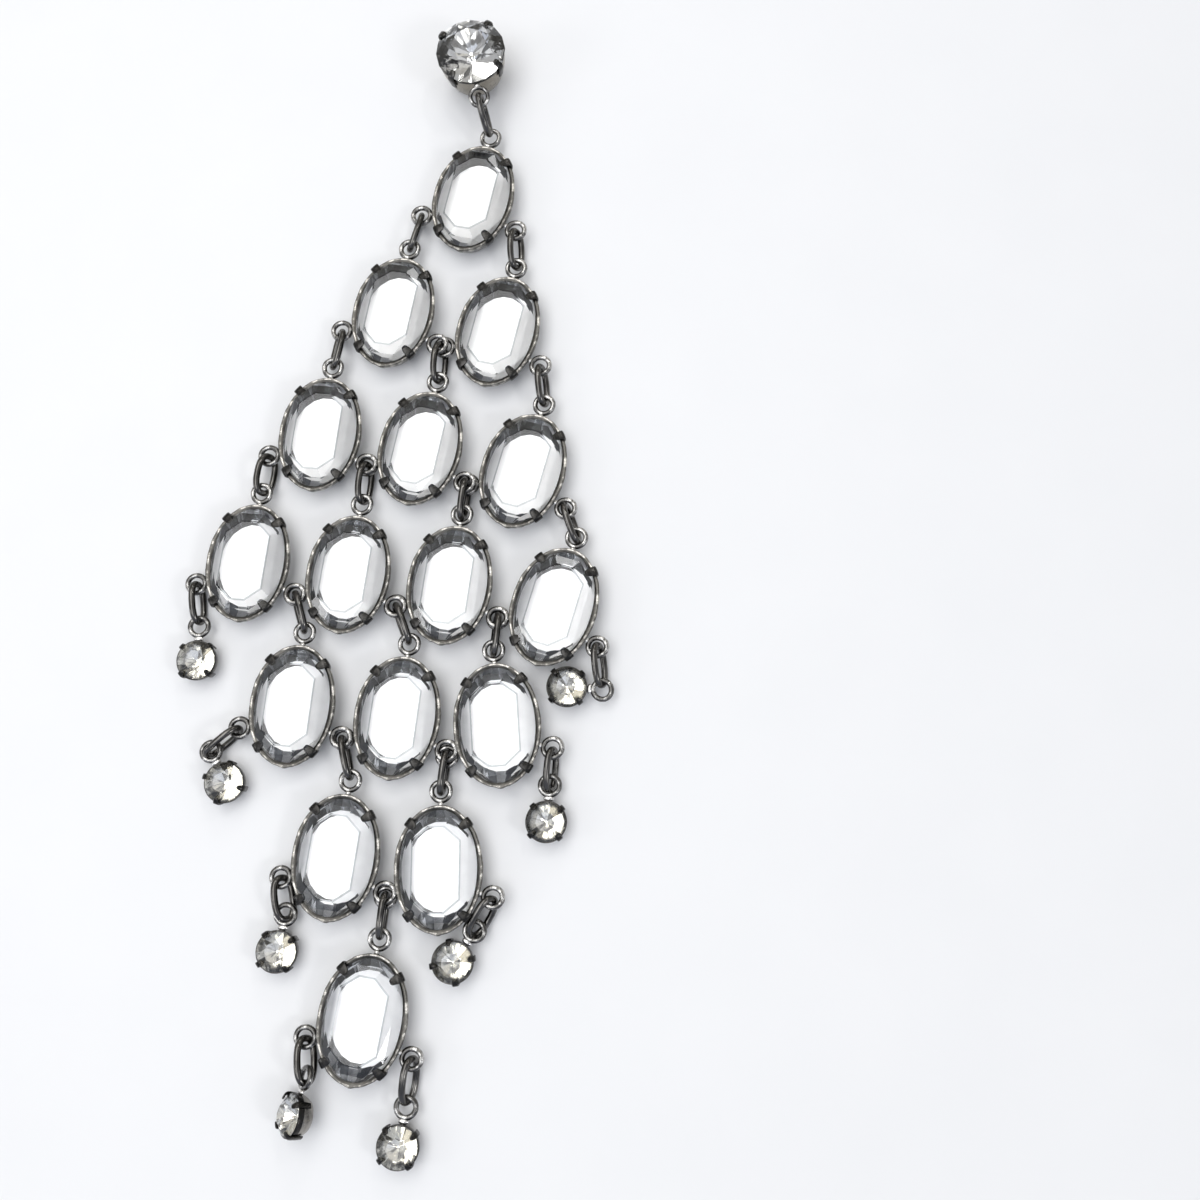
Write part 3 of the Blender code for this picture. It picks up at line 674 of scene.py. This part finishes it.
METALS = {
    # Tarnish and painted highlight: the pale specks stand for light caught on the frame's edge.
    "frame_tarnish_and_glints": ((0.54, 0.52, 0.48), (0.12, 0.115, 0.105), (0.16, 0.34), 950, (0.49, 0.62), 1.0),
    # Painted shade: a darker copy of the frame's metal for the rim.
    "rim_painted_shade": ((0.15, 0.143, 0.13), (0.05, 0.048, 0.044), (0.24, 0.42), 380, (0.42, 0.68), 0.6),
    # Painted highlight: a paler copy of the metal for the soldered joints.
    "solder_painted_highlight": ((0.80, 0.79, 0.77), (0.50, 0.49, 0.47), (0.18, 0.32), 700, (0.3, 0.6), 0.5),
    "inner_metal": ((0.74, 0.71, 0.65), (0.52, 0.49, 0.43), (0.30, 0.45), 380, (0.35, 0.65), 0.3),
    # Tarnish and painted highlight: the loops' pale specks stand for light caught on the wire.
    "loop_tarnish_and_glints": ((0.60, 0.59, 0.57), (0.11, 0.107, 0.102), (0.12, 0.26), 850, (0.48, 0.64), 0.7),
    # Painted shade: a near black copy of the metal for the prongs and the round cups' rims.
    "prong_painted_shade": ((0.10, 0.096, 0.092), (0.035, 0.034, 0.032), (0.18, 0.34), 420, (0.45, 0.72), 0.5),
    "link_metal": ((0.17, 0.164, 0.155), (0.06, 0.058, 0.055), (0.10, 0.22), 300, (0.38, 0.68), 0.35),
    "cup_metal": ((0.36, 0.33, 0.275), (0.20, 0.18, 0.15), (0.22, 0.36), 180, (0.3, 0.7), 0.3),
    "drop_metal": ((0.36, 0.34, 0.31), (0.13, 0.125, 0.115), (0.22, 0.38), 320, (0.35, 0.65), 0.5),
}

# Foils: colour, roughness and, where it isn't whole, the share of mirror

FOILS = {
    "white_foil": ((0.98, 0.98, 0.97), 0.07),
    "mirror_foil": ((0.93, 0.92, 0.88), 0.05),
    # Painted shade: a grey foil behind some of the stud's back facets.
    "grey_foil_painted_shade": ((0.30, 0.30, 0.29), 0.12),
    # A pale mirror base that stands in for the lit floor seen through the oval stone.
    "base_painted_light": ((0.98, 0.98, 0.975), 0.38, 0.8),
    # Side foils painted from bright to dark, as painted glints and painted shade.
    "side_painted_glint": ((0.90, 0.91, 0.93), 0.25),
    "side_painted_half_shade": ((0.45, 0.46, 0.47), 0.20),
    "side_painted_shade": ((0.20, 0.205, 0.21), 0.20),
    "warm_foil": ((1.0, 0.985, 0.92), 0.13),
    # Painted shade: a dim foil behind some of the drop's back facets.
    "dim_foil_painted_shade": ((0.34, 0.32, 0.27), 0.12),
}
GLASSES = {
    "clear_glass": (0.985, 0.992, 1.0),
    "crown_glass": (0.99, 0.992, 0.995),
    # Painted shade: a dark tint on the oval's table edge, for the dark line that the edge shows.
    "table_edge_painted_shade": (0.36, 0.38, 0.40),
}

# The materials of each kind of piece, in the order of its faces' material numbers

FINISHES = {
    "stud_cup": ("cup_metal", "loop_tarnish_and_glints", "prong_painted_shade", "solder_painted_highlight"),
    "stud_brilliant": ("crown_glass", "white_foil", "mirror_foil", "grey_foil_painted_shade"),
    "stud_back": ("cup_metal",),
    "frame": ("frame_tarnish_and_glints", "loop_tarnish_and_glints", "rim_painted_shade", "prong_painted_shade", "inner_metal", "solder_painted_highlight"),
    "cut_oval": ("clear_glass", "base_painted_light", "table_edge_painted_shade", "side_painted_glint", "side_painted_half_shade", "side_painted_shade"),
    "wire_link": ("link_metal",),
    "drop_cup": ("drop_metal", "loop_tarnish_and_glints", "prong_painted_shade", "solder_painted_highlight"),
    "drop_brilliant": ("crown_glass", "warm_foil", "mirror_foil", "dim_foil_painted_shade"),
}


def make_finishes():
    made = {name: metal(name, *values) for name, values in METALS.items()}
    made.update({name: glass(name, colour) for name, colour in GLASSES.items()})
    made.update({name: foil(name, *values) for name, values in FOILS.items()})
    return {kind: [made[name] for name in names] for kind, names in FINISHES.items()}


# Put together

def place(name, mesh, finish, pose, replaced, slot):
    """Put a mesh at a pose in millimetres, in place of the model's nodes that it replaces."""
    item = bpy.data.objects.new(name, mesh)
    if not mesh.materials:
        for material in finish:
            mesh.materials.append(material)
    bpy.context.scene.collection.objects.link(item)
    shift = pose.copy()
    shift.translation = pose.translation * 0.001
    item.matrix_world = shift
    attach(item, "root")
    if replaced:
        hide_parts(*replaced)


def place_stud(finishes):
    ground = Matrix.Translation(stud_place() * 1000)
    stud = ground @ Matrix.Translation(UP * STUD_BASE)
    place("stud_cup", stud_setting(), finishes["stud_cup"], stud, ["stud_setting"], "setting_metal")
    stone = round_stone("stud_brilliant", 5.12, (5.75, 5.9), 7.7, 3.0, 0.5, STUD_PAINTED_FACETS, 0.05)
    place("stud_brilliant", stone, finishes["stud_brilliant"], stud, ["stud_stone"], "foiled_glass")
    heading = Matrix.Rotation(math.radians(STUD_LOOP[0]), 4, "Z")
    place("stud_back", stud_clip(), finishes["stud_back"], ground @ heading, ["stud_clip"], "clip_metal")


def place_ovals(finishes, link):
    """The frames, stones and links of all rows. Returns each stone's pose by its number."""
    setting, stone = oval_setting(), oval_stone()
    middle = (STONE_FLOOR + STONE_TOP) / 2
    poses = {}
    for n in range(1, OVALS + 1):
        pose = poses[n] = node_pose(f"oval_stone_{n:02d}", middle)
        place(f"frame_{n:02d}", setting, finishes["frame"], pose, [f"oval_setting_{n:02d}"],
              "setting_metal")
        place(f"cut_oval_{n:02d}", stone, finishes["cut_oval"], pose, [f"oval_stone_{n:02d}"],
              "clear_glass")
        place(f"wire_link_{n:02d}", link, finishes["wire_link"], node_pose(f"link_{n:02d}", 0),
              [f"link_{n:02d}"], "link_metal")
    return poses


def place_drops(finishes, link, poses):
    cup = drop_setting()
    gem = round_stone("drop_brilliant", 2.66, (2.45, 2.6), 3.6, 0.75, 0.5, DROP_PAINTED_FACETS, 0.2, fine=False)
    for n, (row, side, turn, reach, roll, hang, facing) in enumerate(DROPS, 1):
        first, last = ROW_ENDS[row]
        if side < 0:
            start = poses[first] @ oval_loop(180 + SIDE_LOOP)
        else:
            start = poses[last] @ oval_loop(-SIDE_LOOP)
        pose, link_at = drop_poses(turn, reach, roll, hang, facing, start)
        place(f"drop_cup_{n:02d}", cup, finishes["drop_cup"], pose, [f"drop_{n:02d}"], "drop_metal")
        place(f"drop_brilliant_{n:02d}", gem, finishes["drop_brilliant"], pose, [], "foiled_glass")
        place(f"drop_link_{n:02d}", link, finishes["wire_link"], link_at, [], "link_metal")


def build_pieces():
    finishes = make_finishes()
    link = wire_link()
    place_stud(finishes)
    place_drops(finishes, link, place_ovals(finishes, link))


# Studio: each lamp's place, what it points at, its size and its power

LAMPS = {
    "top": ((-0.13, 0.09, 0.50), (-0.13, 0.09, 0), (0.34, 0.74), 2.03),
    "spark": ((0.25, 0.35, 0.50), (0, 0, 0), (0.03, 0.03), 0.2),
    "right": ((0.50, -0.30, 0.45), (0, 0, 0), (0.14, 0.14), 0.8),
    "left": ((-0.60, -0.15, 0.35), (0, 0, 0), (0.14, 0.14), 0.35),
    "back": ((0.10, 0.65, 0.40), (0, 0, 0), (0.16, 0.12), 0.35),
}
FLOOR_COLOURS = ((0.75, 0.755, 0.76), (0.78, 0.783, 0.785))
SKY_COLOURS = ((0.42, 0.45, 0.53), (0.42, 0.405, 0.375))
SKY_STRENGTH = 1.25


def add_lamp(name, place_at, target, size, power):
    data = bpy.data.lights.new(name, "AREA")
    data.shape = "RECTANGLE"
    data.size, data.size_y = size
    data.energy = power
    item = bpy.data.objects.new(name, data)
    bpy.context.scene.collection.objects.link(item)
    item.location = place_at
    item.rotation_euler = (Vector(target) - Vector(place_at)).to_track_quat("-Z", "Y").to_euler()


def add_floor():
    bpy.ops.mesh.primitive_plane_add(size=4)
    floor = bpy.context.object
    floor.name = "floor"
    material, tree, shader = new_material("floor_paint")
    two_colours(tree, noise(tree, 60, 3.0), *FLOOR_COLOURS, shader.inputs["Base Color"])
    shader.inputs["Roughness"].default_value = 0.55
    floor.data.materials.append(material)


def add_sky():
    """Soft light all round, cooler from -Y and warmer from +Y."""
    world = bpy.data.worlds.new("studio")
    bpy.context.scene.world = world
    world.use_nodes = True
    tree = world.node_tree
    background = tree.nodes["Background"]
    at = node(tree, "ShaderNodeTexCoord")
    ways = node(tree, "ShaderNodeSeparateXYZ")
    tree.links.new(at.outputs["Generated"], ways.inputs["Vector"])
    share = map_range(tree, ways.outputs["Y"], -0.7, 0.7)
    two_colours(tree, share, *SKY_COLOURS, background.inputs["Color"])
    background.inputs["Strength"].default_value = SKY_STRENGTH


def add_studio():
    add_floor()
    add_sky()
    for name, values in LAMPS.items():
        add_lamp(name, *values)
    bpy.context.scene.view_settings.view_transform = "Standard"


build_pieces()
add_studio()
add_camera()
bpy.context.view_layer.update()
